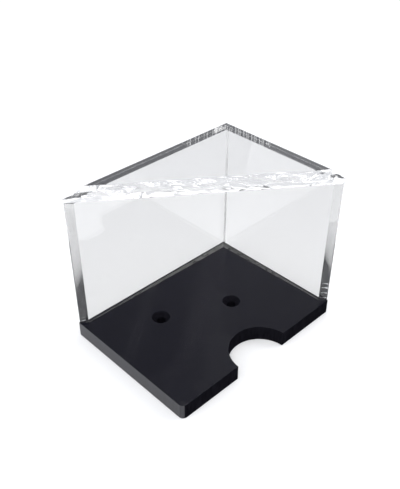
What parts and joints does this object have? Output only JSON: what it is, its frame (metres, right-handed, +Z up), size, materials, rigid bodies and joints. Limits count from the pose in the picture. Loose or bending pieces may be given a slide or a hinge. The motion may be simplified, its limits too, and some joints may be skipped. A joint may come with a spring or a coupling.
{
  "type": "card discard tray",
  "caption": "Open-sided tray that holds discarded playing cards: clear walls and a clear triangular top on a black base with a finger notch.",
  "frame": {"origin": "centre of the underside's outline", "axes": "+X along the long wall, +Y towards the long wall, +Z up"},
  "size_m": [0.1, 0.0736, 0.08],
  "materials": {
    "black_acrylic": "polished, glossy black",
    "clear_acrylic": "clear, polished faces and flame-polished edges"
  },
  "bodies": {
    "root": {"base_plate": "black_acrylic", "long_wall": "clear_acrylic", "short_wall": "clear_acrylic", "top_plate": "clear_acrylic"}
  },
  "joints": []
}
